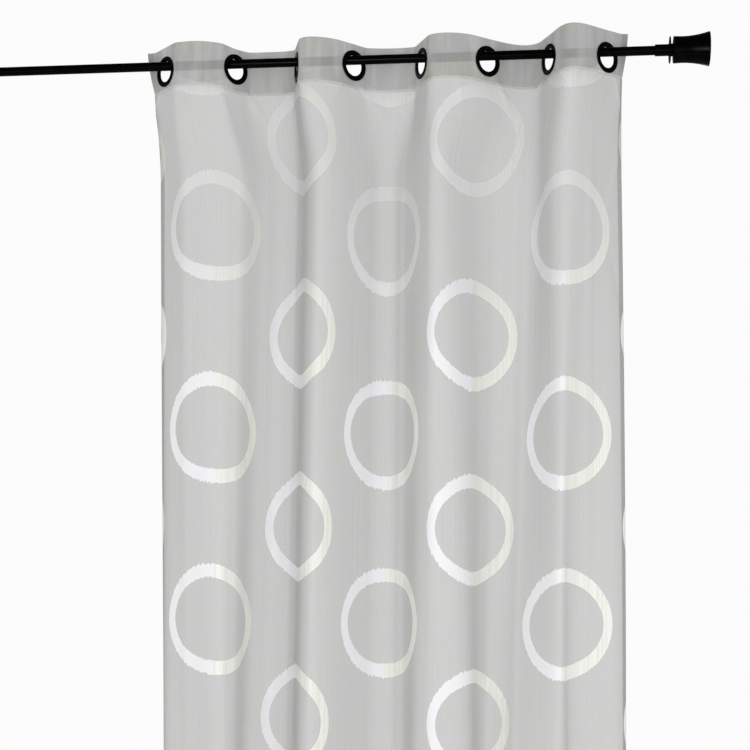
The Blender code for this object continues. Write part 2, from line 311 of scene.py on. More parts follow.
# Name, place, level aimed at on the curtain, width, height and watts.
LAMPS = [
    ("key", (2.2, -3.3, -1.3), -1.4, 1.8, 1.8, 28), ("fill", (-2.9, -2.7, -1.5), -1.4, 1.8, 1.8, 19),
    ("rod_line", (-0.6, -3.42, -1.03), -0.8, 0.9, 0.7, 60),
    ("front_soft", (0.3, -3.6, -1.0), -1.1, 2.6, 1.6, 14), ("behind", (-0.6, 3.4, -0.8), -1.1, 2.4, 2.0, 26),
]
for name, place, level, width, height, watts in LAMPS:
    light = bpy.data.lights.new(name, "AREA")
    light.shape = "RECTANGLE"
    light.size, light.size_y, light.energy = width, height, watts
    holder = into_scene(name, light)
    holder.location = place
    aim = np.array([0, 0, level]) - place
    holder.rotation_euler = (math.acos(-aim[2] / np.linalg.norm(aim)), 0, math.atan2(-aim[0], aim[1]))
    holder.visible_diffuse = name != "rod_line"  # this one only shows in glosses
bpy.context.scene.view_settings.view_transform = "Standard"
bpy.context.scene.cycles.transparent_max_bounces = 32
print("lamps:", [name for name, *_ in LAMPS])

# %% [markdown]
# ## How the cloth hangs
#
# Seen from above, an eyelet curtain is a wave that crosses the rod at every eyelet. Between two eyelets there
# is always the same length of cloth, so where it crosses at a flat angle the fold is shallow and wide, and
# where it crosses steeply the fold is deep and narrow.
#
# A cloth simulation could find such a wave, but not the one in the photograph. So a small table says where
# the cloth crosses, and at what angle, at three heights. A smooth curve of the right length joins each two
# crossings, and all heights are worked out at once as arrays.

# %% Sizes of the panel and its crossings
PANEL_DROP = 2.4
EYELET_PITCH = 0.183  # between eyelet centres, along the flat cloth
PANEL_MARGIN = 0.0595  # from the end eyelets to the side edges
HEADER_RISE = 0.039  # top edge above the rod's axis
HEADER_HEIGHT = 0.098
FOOT_HEM = 0.08
SIDE_HEM = 0.013
EYELET_DROP = 0.0121  # eyelet centres below the rod's axis
FLAT_HALF = 0.0352  # the rings hold the cloth flat this far to each side
BODY_FLAT_HALF = 0.012

# A row for each eyelet: where the cloth crosses and at what angle in degrees, at the rod, body and foot.
CROSSINGS = [
    (-0.504, 43.6, -0.48, 45.2, -0.482, 24.4), (-0.344, 49.8, -0.313, 54.6, -0.335, 75.0),
    (-0.204, 74.5, -0.186, 70.6, -0.208, 74.2), (-0.076, 46.2, -0.068, 52.4, -0.086, 47.5),
    (0.076, 62.8, 0.06, 56.7, 0.051, 64.4), (0.222, 40.3, 0.188, 45.9, 0.191, 74.6),
    (0.358, 63.5, 0.344, 65.7, 0.326, 35.5), (0.484, 45.6, 0.474, 42.4, 0.477, -8.1),
]
# How far each side margin turns, in degrees: at the top edge, rod, body and foot.
EDGE_CURLS = [(70.0, -45.0, 9.7, -60.5), (-60.0, 37.0, 1.9, 76.2)]
ROD_LEVEL, BODY_LEVEL, FOOT_LEVEL = -0.052, -0.27, -1.45
PAST_FOOT = 1.3  # the change from body to foot goes on below the foot's level, up to this share
# How far the top edge stands above its even height: at each eyelet, and midway to the next or to the edge.
TOP_RISES = [
    (0.0035, 0.006), (-0.0053, -0.0018), (0.0, -0.0017), (-0.0035, -0.0053),
    (-0.002, 0.0007), (-0.001, -0.0012), (0.0018, 0.0077), (0.0089, 0.0098),
]
LEFT_CORNER_RISE, RIGHT_CORNER_RISE = 0.0, 0.009

EYELETS_ACROSS = PANEL_MARGIN + EYELET_PITCH * np.arange(len(CROSSINGS))
PANEL_WIDTH = EYELETS_ACROSS[-1] + PANEL_MARGIN
print("panel, flat and finished:", round(PANEL_WIDTH, 3), "by", PANEL_DROP)


# %% Crossings at any height
def ease(t):
    """From 0 to 1 with a slow start and end: three t squared less two t cubed."""
    t = np.clip(t, 0, 1)
    return t * t * (3 - 2 * t)


def freed(height):
    """0 where the rings hold the cloth, and 1 or more where it hangs free."""
    return (ROD_LEVEL - height) / (ROD_LEVEL - BODY_LEVEL)


def crossings_at(height):
    """Places, angles and edge curls at each height, as weighted sums of the tables' three levels. Odd
    eyelets bring the cloth forwards, so their angles turn the other way."""
    above_rod = np.clip((height - ROD_LEVEL) / (HEADER_RISE - ROD_LEVEL), 0, 1)
    below_rod = ease(freed(height))
    below_body = np.clip((BODY_LEVEL - height) / (BODY_LEVEL - FOOT_LEVEL), 0, PAST_FOOT)
    weights = np.stack([1 - below_rod, below_rod - below_body, below_body], axis=-1)
    table = np.array(CROSSINGS).reshape(-1, 3, 2)
    mixed = np.einsum("rl,clv->rcv", weights, table)
    swing = np.where(np.arange(len(table)) % 2 == 0, -1, 1)
    top_curl, *lower_curls = np.array(EDGE_CURLS).T
    curls = weights @ np.array(lower_curls) + above_rod[:, None] * (top_curl - lower_curls[0])
    return mixed[..., 0], np.radians(swing * mixed[..., 1]), np.radians(curls)


levels = np.array([0.0, BODY_LEVEL, FOOT_LEVEL])
print("crossings (x) at rod, body, foot:\n", crossings_at(levels)[0].round(3))

# %% The folds between crossings
FOLD_STEPS, MARGIN_STEPS = 49, 17  # points along each fold's curve and each side margin's
HALVINGS = 30


def cubic_shares(t):
    """At share t of a cubic curve, the weights of its two ends and those of the pull at its two ends."""
    return 2 * t**3 - 3 * t**2 + 1, 3 * t**2 - 2 * t**3, t**3 - 2 * t**2 + t, t**3 - t**2


def fold_lines(start, start_way, end, end_way, length):
    """Cubic curves that leave and arrive in the given directions. The longer the pull at their ends, the
    deeper the fold, so the pull is halved in on until each curve is as long as its cloth. Returns all the
    points, and how far along the cloth each lies."""
    leave, arrive, leave_pull, arrive_pull = cubic_shares(np.linspace(0, 1, FOLD_STEPS)[:, None])
    straight = leave * start[:, :, None] + arrive * end[:, :, None]
    bulge = leave_pull * start_way[:, :, None] + arrive_pull * end_way[:, :, None]
    low, high = np.zeros(start.shape[:2]), np.ones(start.shape[:2])
    for _ in range(HALVINGS):
        pull = (low + high) / 2
        points = straight + pull[..., None, None] * bulge
        steps = np.linalg.norm(np.diff(points, axis=2), axis=-1)
        long_enough = steps.sum(-1) > length
        low, high = np.where(long_enough, low, pull), np.where(long_enough, pull, high)
    along = np.cumsum(steps, axis=-1) / steps.sum(-1, keepdims=True)
    along = np.concatenate([np.zeros_like(along[..., :1]), along], axis=-1)
    return points, along * length[..., None]


def margin_line(start, way_angle, curl, free, side):
    """The free strip past an end eyelet: a path that turns evenly by the curl over its width."""
    share = np.linspace(0, 1, MARGIN_STEPS)
    angle = way_angle[:, None] + curl[:, None] * (share[1:] + share[:-1]) / 2
    step = side * free[:, None] / (MARGIN_STEPS - 1)
    moves = np.stack([np.cos(angle) * step, np.sin(angle) * step], axis=-1)
    line = np.concatenate([start[:, None], start[:, None] + np.cumsum(moves, axis=1)], axis=1)
    return line, share * free[:, None]


def plan_lines(height):
    """How far across the flat cloth each point of its line in plan lies, and the line itself, from the left
    edge to the right, at each height."""
    places, angles, curls = crossings_at(height)
    # The flat stretch at a crossing is as wide as the rings, and shrinks where the cloth hangs free.
    flat = (FLAT_HALF + (BODY_FLAT_HALF - FLAT_HALF) * np.clip(freed(height), 0, 1))[:, None]
    ways = np.stack([np.cos(angles), np.sin(angles)], axis=-1)
    centres = np.stack([places, np.zeros_like(places)], axis=-1)
    starts, ends = centres - flat[..., None] * ways, centres + flat[..., None] * ways
    free = PANEL_MARGIN - flat[:, 0]
    left, left_across = margin_line(starts[:, 0], angles[:, 0], curls[:, 0], free, -1)
    right, right_across = margin_line(ends[:, -1], angles[:, -1], curls[:, 1], free, 1)
    loose = np.broadcast_to(EYELET_PITCH - 2 * flat, (len(height), len(CROSSINGS) - 1))
    folds, folds_across = fold_lines(ends[:, :-1], ways[:, :-1], starts[:, 1:], ways[:, 1:], loose)
    folds_across = folds_across + (EYELETS_ACROSS[:-1] + flat)[..., None]
    line = np.concatenate([left[:, ::-1], folds.reshape(len(height), -1, 2), right], axis=1)
    across = [free[:, None] - left_across[:, ::-1], folds_across.reshape(len(height), -1)]
    across.append(PANEL_WIDTH - free[:, None] + right_across)
    return np.concatenate(across, axis=1), line


bend = plan_lines(levels)[1][..., 1]
print("fold depth, front and back, at rod, body, foot:", bend.min(1).round(4), bend.max(1).round(4))


# %% Any point of the hanging cloth
def read_rows(where, known, values):
    """Row by row, values at the places asked for, in a straight line between the known places beside them."""
    found = np.clip((known[:, None] <= where[..., None]).sum(-1) - 1, 0, known.shape[1] - 2)
    before = np.take_along_axis(known, found, axis=1)
    after = np.take_along_axis(known, found + 1, axis=1)
    share = ((where - before) / (after - before))[..., None]
    low = np.take_along_axis(values, found[..., None], axis=1)
    high = np.take_along_axis(values, found[..., None] + 1, axis=1)
    return low + (high - low) * share


def smooth_through(known, values, wanted):
    """A curve through the known values, whose slope at each of them is that between its two neighbours."""
    slopes = np.gradient(values, known)
    i = np.clip(np.searchsorted(known, wanted, side="right") - 1, 0, len(known) - 2)
    gap = known[i + 1] - known[i]
    start, end, start_pull, end_pull = cubic_shares((wanted - known[i]) / gap)
    ends = start * values[i] + end * values[i + 1]
    return ends + gap * (start_pull * slopes[i] + end_pull * slopes[i + 1])


def lift_at(across):
    """How far each thread stands above the even top edge: a smooth curve through the risen places."""
    steps = [EYELET_PITCH / 2] * (2 * len(TOP_RISES) - 2) + [PANEL_MARGIN / 2] * 2
    known = np.cumsum([0, PANEL_MARGIN, *steps])
    rises = np.array([LEFT_CORNER_RISE, *np.array(TOP_RISES).ravel(), RIGHT_CORNER_RISE])
    return smooth_through(known, rises, across)


SOFTEN = 0.017  # free of the rings, the voile evens its line out over this much cloth
SOFTEN_TAPS = ((-1.0, 1 / 9), (-0.5, 2 / 9), (0.0, 3 / 9), (0.5, 2 / 9), (1.0, 1 / 9))


def hang(across, depth):
    """Where these threads hang at these depths, and which way is back: the line's direction in plan, turned
    a quarter. Below the header a thread takes the weighted mean of the line to both sides of it."""
    height = HEADER_RISE - depth
    across = np.broadcast_to(across, (len(depth), np.shape(across)[-1]))
    known, line = plan_lines(height)
    step = unit(np.diff(line, axis=1))
    tangent = np.concatenate([step[:, :1], step[:, 1:] + step[:, :-1], step[:, -1:]], axis=1)
    values = np.concatenate([line, tangent], axis=-1)
    reach = SOFTEN * ease(freed(height))[:, None]
    read = sum(share * read_rows(across + tap * reach, known, values) for tap, share in SOFTEN_TAPS)
    tangent = unit(read[..., 2:])
    place = np.concatenate([read[..., :2], (height[:, None] + lift_at(across))[..., None]], axis=-1)
    to_back = np.stack([-tangent[..., 1], tangent[..., 0], np.zeros_like(across)], axis=-1)
    return place, to_back


place, _ = hang(EYELETS_ACROSS, np.array([HEADER_RISE]))
print("crossings found on the rod's line (x):", place[0, :, 0].round(3))

# %% [markdown]
# ## Creases
#
# Crisp voile keeps the marks of its making. Short creases run down and away from the eyelets, where the
# gathered band lets the cloth out, and long soft flutes stand where it was folded in its packet. They could
# be sculpted, or left to a simulation's chance. Here each is a row of a table, placed where the photograph
# shows one.

# %% Crease tables
# Place across and down, lean to the right in degrees, length, width, and rise to the front.
CREASES = [
    (0.022, 0.115, -24, 0.11, 0.014, 0.0034), (0.105, 0.118, 36, 0.09, 0.013, -0.0037),
    (0.15, 0.106, -38, 0.08, 0.012, 0.0034), (0.196, 0.112, 30, 0.085, 0.012, 0.0037),
    (0.214, 0.085, -48, 0.06, 0.01, -0.0027), (0.286, 0.11, 34, 0.095, 0.014, 0.0041),
    (0.352, 0.104, -30, 0.07, 0.012, -0.0034), (0.398, 0.12, -22, 0.1, 0.012, 0.0034),
    (0.468, 0.098, 42, 0.09, 0.012, 0.0044), (0.516, 0.094, 58, 0.07, 0.01, -0.0031),
    (0.56, 0.118, -34, 0.08, 0.012, 0.0037), (0.65, 0.11, 38, 0.1, 0.014, 0.0044),
    (0.694, 0.128, 16, 0.11, 0.013, -0.0031), (0.745, 0.112, -40, 0.085, 0.012, 0.0037),
    (0.838, 0.106, 36, 0.08, 0.012, -0.0034), (0.904, 0.112, 12, 0.11, 0.015, 0.0034),
    (0.934, 0.098, -44, 0.07, 0.011, 0.0034), (1.02, 0.114, 34, 0.09, 0.013, 0.0041),
    (1.072, 0.126, -14, 0.12, 0.014, -0.0034), (1.112, 0.096, -46, 0.075, 0.011, 0.0037),
    (1.206, 0.096, 46, 0.085, 0.012, 0.0041), (1.262, 0.108, -28, 0.085, 0.013, -0.0037),
    (1.3, 0.104, -48, 0.07, 0.01, 0.0031), (1.378, 0.132, 20, 0.09, 0.01, 0.0041),
    (1.372, 0.33, -16, 0.13, 0.011, 0.0034), (1.38, 0.56, 14, 0.16, 0.011, -0.0031),
]
# Place across, width, rise, and the depth at which it starts.
FLUTES = [
    (0.09, 0.03, 0.0022, 0.14), (0.205, 0.024, -0.002, 0.13), (0.3, 0.03, 0.0024, 0.15),
    (0.372, 0.018, -0.0016, 0.12), (0.505, 0.028, 0.0024, 0.16), (0.668, 0.034, -0.0022, 0.14),
    (0.735, 0.02, 0.0018, 0.13), (0.86, 0.03, 0.0022, 0.16), (1.035, 0.026, -0.0022, 0.14),
    (1.1, 0.02, 0.0018, 0.12), (1.225, 0.032, -0.002, 0.15), (1.305, 0.02, 0.0018, 0.13),
]
RING_CLEAR, RING_FADE = 0.034, 0.012  # no crease reaches under a ring; beyond it they grow in over the fade
CREST_SHARP, CREST_ROUND = 1.4, 0.06  # how steep a crease's sides are, and how much its top is rounded
FLUTE_GROWS = 0.25  # a flute comes in over this much drop


def relief(across, depth):
    """How far the creases move each point forwards. A crease is a bell along its length; across, it falls
    off as e to the minus the distance, just rounded at the top. A flute is a bell across only, grown in
    below the place where it starts."""
    across, depth = across[..., None], depth[..., None]
    place, start, lean, length, width, rise = np.array(CREASES).T
    lean = np.radians(lean)
    right, down = across - place, depth - start
    along = (right * np.sin(lean) + down * np.cos(lean)) / (length / 2)
    aside = (right * np.cos(lean) - down * np.sin(lean)) / (width / 2)
    crest = CREST_SHARP * np.sqrt(aside**2 + CREST_ROUND)
    short = (rise * np.exp(-along**2 - crest)).sum(-1)
    place, width, rise, start = np.array(FLUTES).T
    bell = np.exp(-(((across - place) / (width / 2)) ** 2))
    long = (rise * bell * ease((depth - start) / FLUTE_GROWS)).sum(-1)
    from_eyelet = np.hypot(across - EYELETS_ACROSS, depth - HEADER_RISE - EYELET_DROP).min(-1)
    return (short + long) * ease((from_eyelet - RING_CLEAR) / RING_FADE)


probe = relief(*np.meshgrid(np.linspace(0, PANEL_WIDTH, 200), np.linspace(0, 1, 200)))
print("creases stand", (probe.max() * 1000).round(2), "mm out and", (-probe.min() * 1000).round(2), "mm in")

# %% [markdown]
# ## The panel: one sheet with its hems turned over
#
# A hem on sheer cloth shows because two layers let less light through. It could be painted on as a denser
# band, but without its back and its fold. So the sheet is made as it is sewn: one length of cloth whose edges
# turn over in a small half circle and lie a little behind the front. The grid lines are threads, so a place
# on the flat cloth is also its place in the weave.
#
# For each eyelet hole the nearest grid points move onto the hole's circle and the cells inside it are left
# out, which keeps the rim round without a Boolean.

# %% Turned edges
HEADER_GAP, HEM_GAP = 0.0012, 0.0007  # between the layers of the header or foot hem, and of the side hems
TURN = np.linspace(0, math.pi, 5)[1:]
FRONT = -0.0006  # the front layer, measured backwards from the solid's middle


def turned_over(past, gap):
    """Cloth that goes past an edge by this much takes half a turn on a circle as wide as the gap, then goes
    back behind the front layer. Returns how far outside the edge it lies and how far behind."""
    radius = gap / 2
    angle = np.clip(past / radius, 0, math.pi)
    outside = np.where(past < radius * math.pi, radius * np.sin(angle), radius * math.pi - past)
    return np.where(past < 0, past, outside), radius * (1 - np.cos(angle))


def fold_in(place, size, gap):
    """Places on the flat cut cloth, which turns over at 0 and at size, as places on the finished panel and
    distances behind its front."""
    near, near_behind = turned_over(-place, gap)
    far, far_behind = turned_over(place - size, gap)
    inside = np.where(place < size / 2, -near, size + far)
    return inside, near_behind + far_behind


# %% Threads and rows of the grid
WIDTH_STEPS, SIDE_STEPS = 318, 3
HEADER_STEPS, CREASED_STEPS, DROP_STEPS, FOOT_STEPS = 23, 42, 117, 8
CREASED_DEPTH = 0.33  # the rows lie closer down to here
HEM_TOP = PANEL_DROP - FOOT_HEM


def stretch(start, end, steps):
    """Even steps from one place to another, without the first place."""
    return np.linspace(start, end, steps + 1)[1:]


def turned_strip(depth, gap, steps):
    """Grid places from an edge outwards over its turn, and along the strip behind it."""
    turn = TURN * gap / 2
    return np.concatenate([turn, stretch(turn[-1], turn[-1] + depth, steps)])


side = turned_strip(SIDE_HEM, HEM_GAP, SIDE_STEPS)
threads = np.concatenate([-side[::-1], [0], stretch(0, PANEL_WIDTH, WIDTH_STEPS), PANEL_WIDTH + side])
rows = np.concatenate([
    -turned_strip(HEADER_HEIGHT, HEADER_GAP, HEADER_STEPS)[::-1], [0],
    stretch(0, HEADER_HEIGHT, HEADER_STEPS), stretch(HEADER_HEIGHT, CREASED_DEPTH, CREASED_STEPS),
    stretch(CREASED_DEPTH, HEM_TOP, DROP_STEPS), stretch(HEM_TOP, PANEL_DROP, FOOT_STEPS),
    PANEL_DROP + turned_strip(FOOT_HEM, HEADER_GAP, FOOT_STEPS),
])

across, side_behind = fold_in(threads, PANEL_WIDTH, HEM_GAP)
depth, foot_behind = fold_in(rows, PANEL_DROP, HEADER_GAP)
print("threads:", len(threads), "rows:", len(rows), "triangles at most:", 2 * len(threads) * len(rows))

# %% Hang the sheet
def creased(across, depth):
    """Places on the creased cloth, one row for each depth, and which way is back from each."""
    place, to_back = hang(across, depth)
    return place - relief(*np.meshgrid(across, depth))[..., None] * to_back, to_back


place, to_back = creased(across, depth)
behind = FRONT + side_behind + foot_behind[:, None]
sheet_points = place + behind[..., None] * to_back
flat_cloth = np.stack(np.meshgrid(threads, rows), axis=-1)
print("sheet from", sheet_points.min((0, 1)).round(4), "to", sheet_points.max((0, 1)).round(4))

# %% Cut the eyelet holes
HOLE_RADIUS = 0.0252
SNAP = 0.0023  # points this near the hole's edge move onto it

eyelet_x, eyelet_angle, _ = (found[0] for found in crossings_at(np.zeros(1)))
nearest = np.abs(across[:, None] - EYELETS_ACROSS).argmin(-1)
beside = across - EYELETS_ACROSS[nearest]
above = sheet_points[..., 2] + EYELET_DROP
from_centre = np.hypot(beside, above)
snap = np.where(np.abs(from_centre - HOLE_RADIUS) < SNAP, HOLE_RADIUS / from_centre - 1, 0)
way = np.stack([np.cos(eyelet_angle), np.sin(eyelet_angle)], axis=-1)[nearest]
sheet_points[..., :2] += (snap * beside)[..., None] * way
sheet_points[..., 2] += snap * above
from_centre = from_centre * (1 + snap)

cells = grid_faces(len(rows), len(threads))
cells = cells[from_centre.ravel()[cells].min(-1) > HOLE_RADIUS - 1e-6]
panel_mesh = fill_mesh("voile_panel", sheet_points, cells, flat_cloth)
print("cells left:", len(cells))

# %% [markdown]
# ## The voile
#
# The ground is an open plain weave that lets much of the light through. The rings are satin, whose floating
# threads lie close and shine. In a ring's left half the warp lies on top and looks cool and smooth, in its
# right half the weft does, which is warmer and shows upright ribs. The edge is ragged by whole threads.
#
# An image could carry this, but it would blur close up and repeat its accidents. The weave here is a formula
# on the flat cloth's own metres, so the rings bend and overlap with the folds. A slanted look passes more
# threads, so the share of light that gets through is the straight-on share raised to one over the cosine.

# %% Ring repeat
# A few rings sit off the even repeat: the column and row of each, and how far it goes right and down.
DRIFTS = [
    (0, 0, 0.0145, 0.01), (0, 1, 0.013, 0.0), (0, 2, 0.004, 0.0), (1, 0, 0.0, -0.0173),
    (1, 1, 0.0, 0.004), (2, 0, 0.0, -0.005), (3, 0, 0.0, -0.008), (3, 2, 0.0, -0.0073),
    (5, 0, 0.0, -0.004), (5, 1, 0.0, 0.0098), (5, 2, 0.0, -0.0047),
]
FINE_SLIVER = 0.31  # width of the finer threads, as a share of a sliver's
COARSE_REACH, FINE_REACH = 0.75, 0.45
RIGHT_CALM, INNER_CALM = 0.65, 0.45  # how much less the right half and the inner edge fray
EDGE_BLUR, HALF_BLUR = 0.02, 0.0006  # half widths of the fade at an oval's edge and between the halves

ring_group, given, out = new_group(
    "ring_repeat",
    {"Across": 0.0, "Down": 0.0, "Pitch": 0.27, "Period": 0.4315, "First Across": -0.11,
     "First Down": 0.2105, "Slope": 0.015, "Half Width": 0.1205, "Half Height": 0.124,
     "Side Band": 0.02, "End Band": 0.0315, "Ragged": 0.0062, "Sliver": 0.0034},
    ["Ring", "Right Half", "Rib"],
)
shifted = given.across - given.first_across
column = calc("ROUND", shifted / given.pitch)
x = shifted - column * given.pitch
half_drop = calc("FLOORED_MODULO", column, 2.0) * (given.period * 0.5)
fallen = given.down - (given.across * given.slope + given.first_down + half_drop)
row = calc("ROUND", fallen / given.period)
y = fallen - row * given.period
for in_column, in_row, right, lower in DRIFTS:
    this_one = calc("COMPARE", column, in_column, 0.5) * calc("COMPARE", row, in_row, 0.5)
    x = x - this_one * right
    y = y - this_one * lower
right_half = span(x, -HALF_BLUR, HALF_BLUR)


def frayed(across, width, *seeds):
    """A height between -0.5 and 0.5 for each sliver of threads this wide, other in each ring and half."""
    sliver = calc("FLOOR", across / width)
    return result("ShaderNodeTexWhiteNoise", place_vector(sliver, *seeds)) - 0.5


def oval(x, y, half_width, half_height):
    """1 on the edge of an oval: the squares of both distances, each as a share of its half size, summed."""
    wide, high = x / half_width, y / half_height
    return wide * wide + high * high


# The left half frays in long slivers with finer threads between them, the right half hardly at all.
seeds = (row + calc("SIGN", y) * 0.25, column)
coarse = frayed(given.across, given.sliver, *seeds)
fine = frayed(given.across, given.sliver * FINE_SLIVER, *seeds)
loose = fine * FINE_REACH + coarse * COARSE_REACH
amount = given.ragged * (right_half * -RIGHT_CALM + 1.0)
outside = oval(x, y + loose * amount, given.half_width, given.half_height)
inner_size = (given.half_width - given.side_band, given.half_height - given.end_band)
inside = oval(x, y + loose * (amount * (INNER_CALM - 1.0)), *inner_size)
edges = (1.0 + EDGE_BLUR, 1.0 - EDGE_BLUR)
feed(out["Ring"], span(outside, *edges) * span(inside, *edges[::-1]))
feed(out["Right Half"], right_half)
feed(out["Rib"], cloudy(place_vector(given.across, row * 0.37), 260.0, 1.0))
print("ring repeat:", len(ring_group.nodes), "nodes")

# %% Weave and slubs, shared by the cloth and its thread
weave_group, given, out = new_group(
    "thread_weave", {"Across": 0.0, "Down": 0.0, "Thread Pitch": 0.00055}, ["Weave", "Slub"],
)
turns = 2 * math.pi / given.thread_pitch
warp, weft = calc("SINE", given.across * turns), calc("SINE", given.down * turns)
feed(out["Weave"], warp * weft * 0.5 + 0.5)
upright = cloudy(place_vector(given.across * 420.0, given.down * 2.2), 1.0, 3.0)
level = cloudy(place_vector(given.across * 3.0, given.down * 380.0, 4.0))
feed(out["Slub"], level * 0.15 + upright * 0.85)
print("weave:", len(weave_group.nodes), "nodes")

# %% Voile material
GROUND_LILAC, GROUND_GREEN = (0.366, 0.351, 0.36), (0.353, 0.357, 0.327)
HEADER_LILAC, HEADER_GREEN = (0.385, 0.378, 0.396), (0.36, 0.38, 0.322)
# The header's pale streak colour is painted light; the pale thread colour is the seams' and slubs' own.
HEADER_PAINTED_LIGHT, PALE_THREAD = (0.6, 0.6, 0.59), (0.62, 0.62, 0.6)
WARP_SATIN, WEFT_SATIN = (0.85, 0.835, 0.865), (0.835, 0.85, 0.793)
WEFT_RIB = (0.66, 0.68, 0.585)
GROUND_COVER, HEADER_COVER, RING_COVER = 0.63, 0.64, 0.93
SEAM_INSET = 0.0025  # a seam runs this far inside the turned cloth's raw edge
SEAM_DEPTH = HEADER_HEIGHT - SEAM_INSET
FLATTEST_LOOK = 0.2  # past this cosine a slanted look closes the cloth no further
RELIEF = 0.0003  # metres, of the rings and threads

voile, tree, shader = new_material(
    "pearl_voile", Sheen_Weight=0.25, Sheen_Roughness=0.45, Specular_IOR_Level=0.3,
)
flat_place = result("ShaderNodeUVMap", tree=tree, uv_map="flat_cloth")
parts = outputs(new_node("ShaderNodeSeparateXYZ", flat_place))
along, down = parts.x, parts.y
rings = place_group(ring_group, along, down)
weave = place_group(weave_group, along, down)

# The rings are pale by the header and come out whiter further down.
strength = span(down, HEADER_HEIGHT - 0.01, HEADER_HEIGHT + 0.03, 0.16, 0.48)
ring = rings.ring * (strength + span(down, 0.25, 0.75, 0.0, 0.5))
rib = span(rings.rib, 0.4, 0.62) * rings.right_half
in_header = span(down, HEADER_HEIGHT + 0.001, HEADER_HEIGHT - 0.001)
seam = span(calc("ABSOLUTE", down - SEAM_DEPTH), 0.0026, 0.001)
streak = span(weave.slub, 0.3, 0.7)

satin = blend_colours(rings.right_half, WARP_SATIN, WEFT_SATIN)
satin = blend_colours(rib * 0.5, satin, WEFT_RIB)
pearl = span(cloudy(place_vector(along * 11.0, down * 17.0)), 0.36, 0.64)
# Painted light in the header: pale upright streaks, two or three a fold, for the lit noses of its folds.
painted_fold_light = span(cloudy(place_vector(along * 24.0, down * 5.0)), 0.4, 0.64) * in_header
header = blend_colours(pearl, HEADER_LILAC, HEADER_GREEN)
header = blend_colours(painted_fold_light * 0.45, header, HEADER_PAINTED_LIGHT)
ground = blend_colours(in_header, blend_colours(pearl, GROUND_LILAC, GROUND_GREEN), header)
ground = blend_colours(streak * 0.16, ground, PALE_THREAD)
ground = blend_colours(seam, ground, PALE_THREAD)
feed(shader["Base Color"], blend_colours(ring, ground, satin))
feed(shader["Roughness"], span(ring, 0.0, 1.0, 0.62, 0.42))

cover = span(in_header, 0.0, 1.0, GROUND_COVER, HEADER_COVER)
cover = cover + (streak - 0.5) * 0.03 + (weave.weave - 0.5) * 0.1
cover = cover + (RING_COVER - cover) * ring
facing = outputs(new_node("ShaderNodeLayerWeight", tree=tree)).facing
closing = in_header * 0.4 + 0.55
cosine = calc("MAXIMUM", 1.0 - facing, FLATTEST_LOOK) ** closing
feed(shader["Alpha"], 1.0 - (1.0 - cover) ** (1.0 / cosine))

raised = ring * 0.5 + weave.weave * 0.25 + rib * 0.2 - seam * 0.8
feed(shader["Normal"], bump(raised, RELIEF, 0.6))
print("voile:", len(tree.nodes), "nodes")

# %% The panel in the scene
panel = add_piece("voile_panel", panel_mesh, voile, ["cloth"])

# %% [markdown]
# ## Stitches
#
# The header and the hems are held by a lockstitch: short stitches on the front, and the same ones on the
# back, half a stitch further on. Each is a tiny closed capsule that dips into the cloth at both ends. All
# stitches of a seam are made in one go, by adding one small grid of points to each place along the seam.

# %% Stitch shape
STITCH_PITCH, STITCH_LENGTH = 0.0034, 0.0029
THREAD_RADIUS = 0.00017
STITCH_RISE = 2.2  # of its middle over its sunk ends, in radii of the thread
STITCH_LIFT = 0.0002  # its middle line starts this far off the middle of the cloth
STITCH_SIDES, STITCH_RINGS = 5, 5


def stitch_points(centre, along, out):
    """Capsules on a seam. Along the length the middle line rises from the cloth and sinks back as a sine,
    and the radius follows a half circle. Round it the points stand on a circle."""
    share = np.linspace(0, 1, STITCH_RINGS)
    radius = THREAD_RADIUS * np.sqrt(np.clip(1 - (2 * share - 1) ** 2, 0, 1))
    rise = STITCH_RISE * THREAD_RADIUS * np.sin(math.pi * share) - THREAD_RADIUS
    middle = (share - 0.5)[:, None] * STITCH_LENGTH * along[:, None] + rise[:, None] * out[:, None]
    around = circle(STITCH_SIDES, out[:, None, None], np.cross(along, out)[:, None, None])
    return centre[:, None, None] + middle[:, :, None] + radius[:, None, None] * around


def seam_mesh(name, places, to_back):
    """Stitches on both faces along the places given, the back ones half a stitch further on."""
    along = unit(np.gradient(places, axis=0))
    halfway = (places[1:] + places[:-1]) / 2
    front = stitch_points(places + (FRONT - STITCH_LIFT) * to_back, along, -to_back)
    behind = (FRONT + HEADER_GAP + STITCH_LIFT) * to_back[1:]
    back = stitch_points(halfway + behind, along[1:], to_back[1:])
    points = np.concatenate([front, back])
    cell = grid_faces(STITCH_RINGS, STITCH_SIDES, wrap_columns=True)
    faces = cell + (np.arange(len(points)) * STITCH_RINGS * STITCH_SIDES)[:, None, None]
    return fill_mesh(name, points, faces.reshape(-1, 4))


# %% Thread material
THREAD_TWIST = 0.0009  # metres from one turn of the twist to the next

thread, tree, shader = new_material("sewing_thread", Sheen_Weight=0.3, Specular_IOR_Level=0.35)
where = outputs(new_node("ShaderNodeTexCoord", tree=tree)).object
axes = outputs(new_node("ShaderNodeSeparateXYZ", where))
twist = place_group(weave_group, axes.x, axes.z, THREAD_TWIST)
feed(shader["Base Color"], blend_colours(twist.slub, (0.6, 0.61, 0.58), (0.74, 0.74, 0.71)))
feed(shader["Roughness"], span(twist.weave, 0.0, 1.0, 0.45, 0.65))
feed(shader["Normal"], bump(twist.weave, 0.00005))

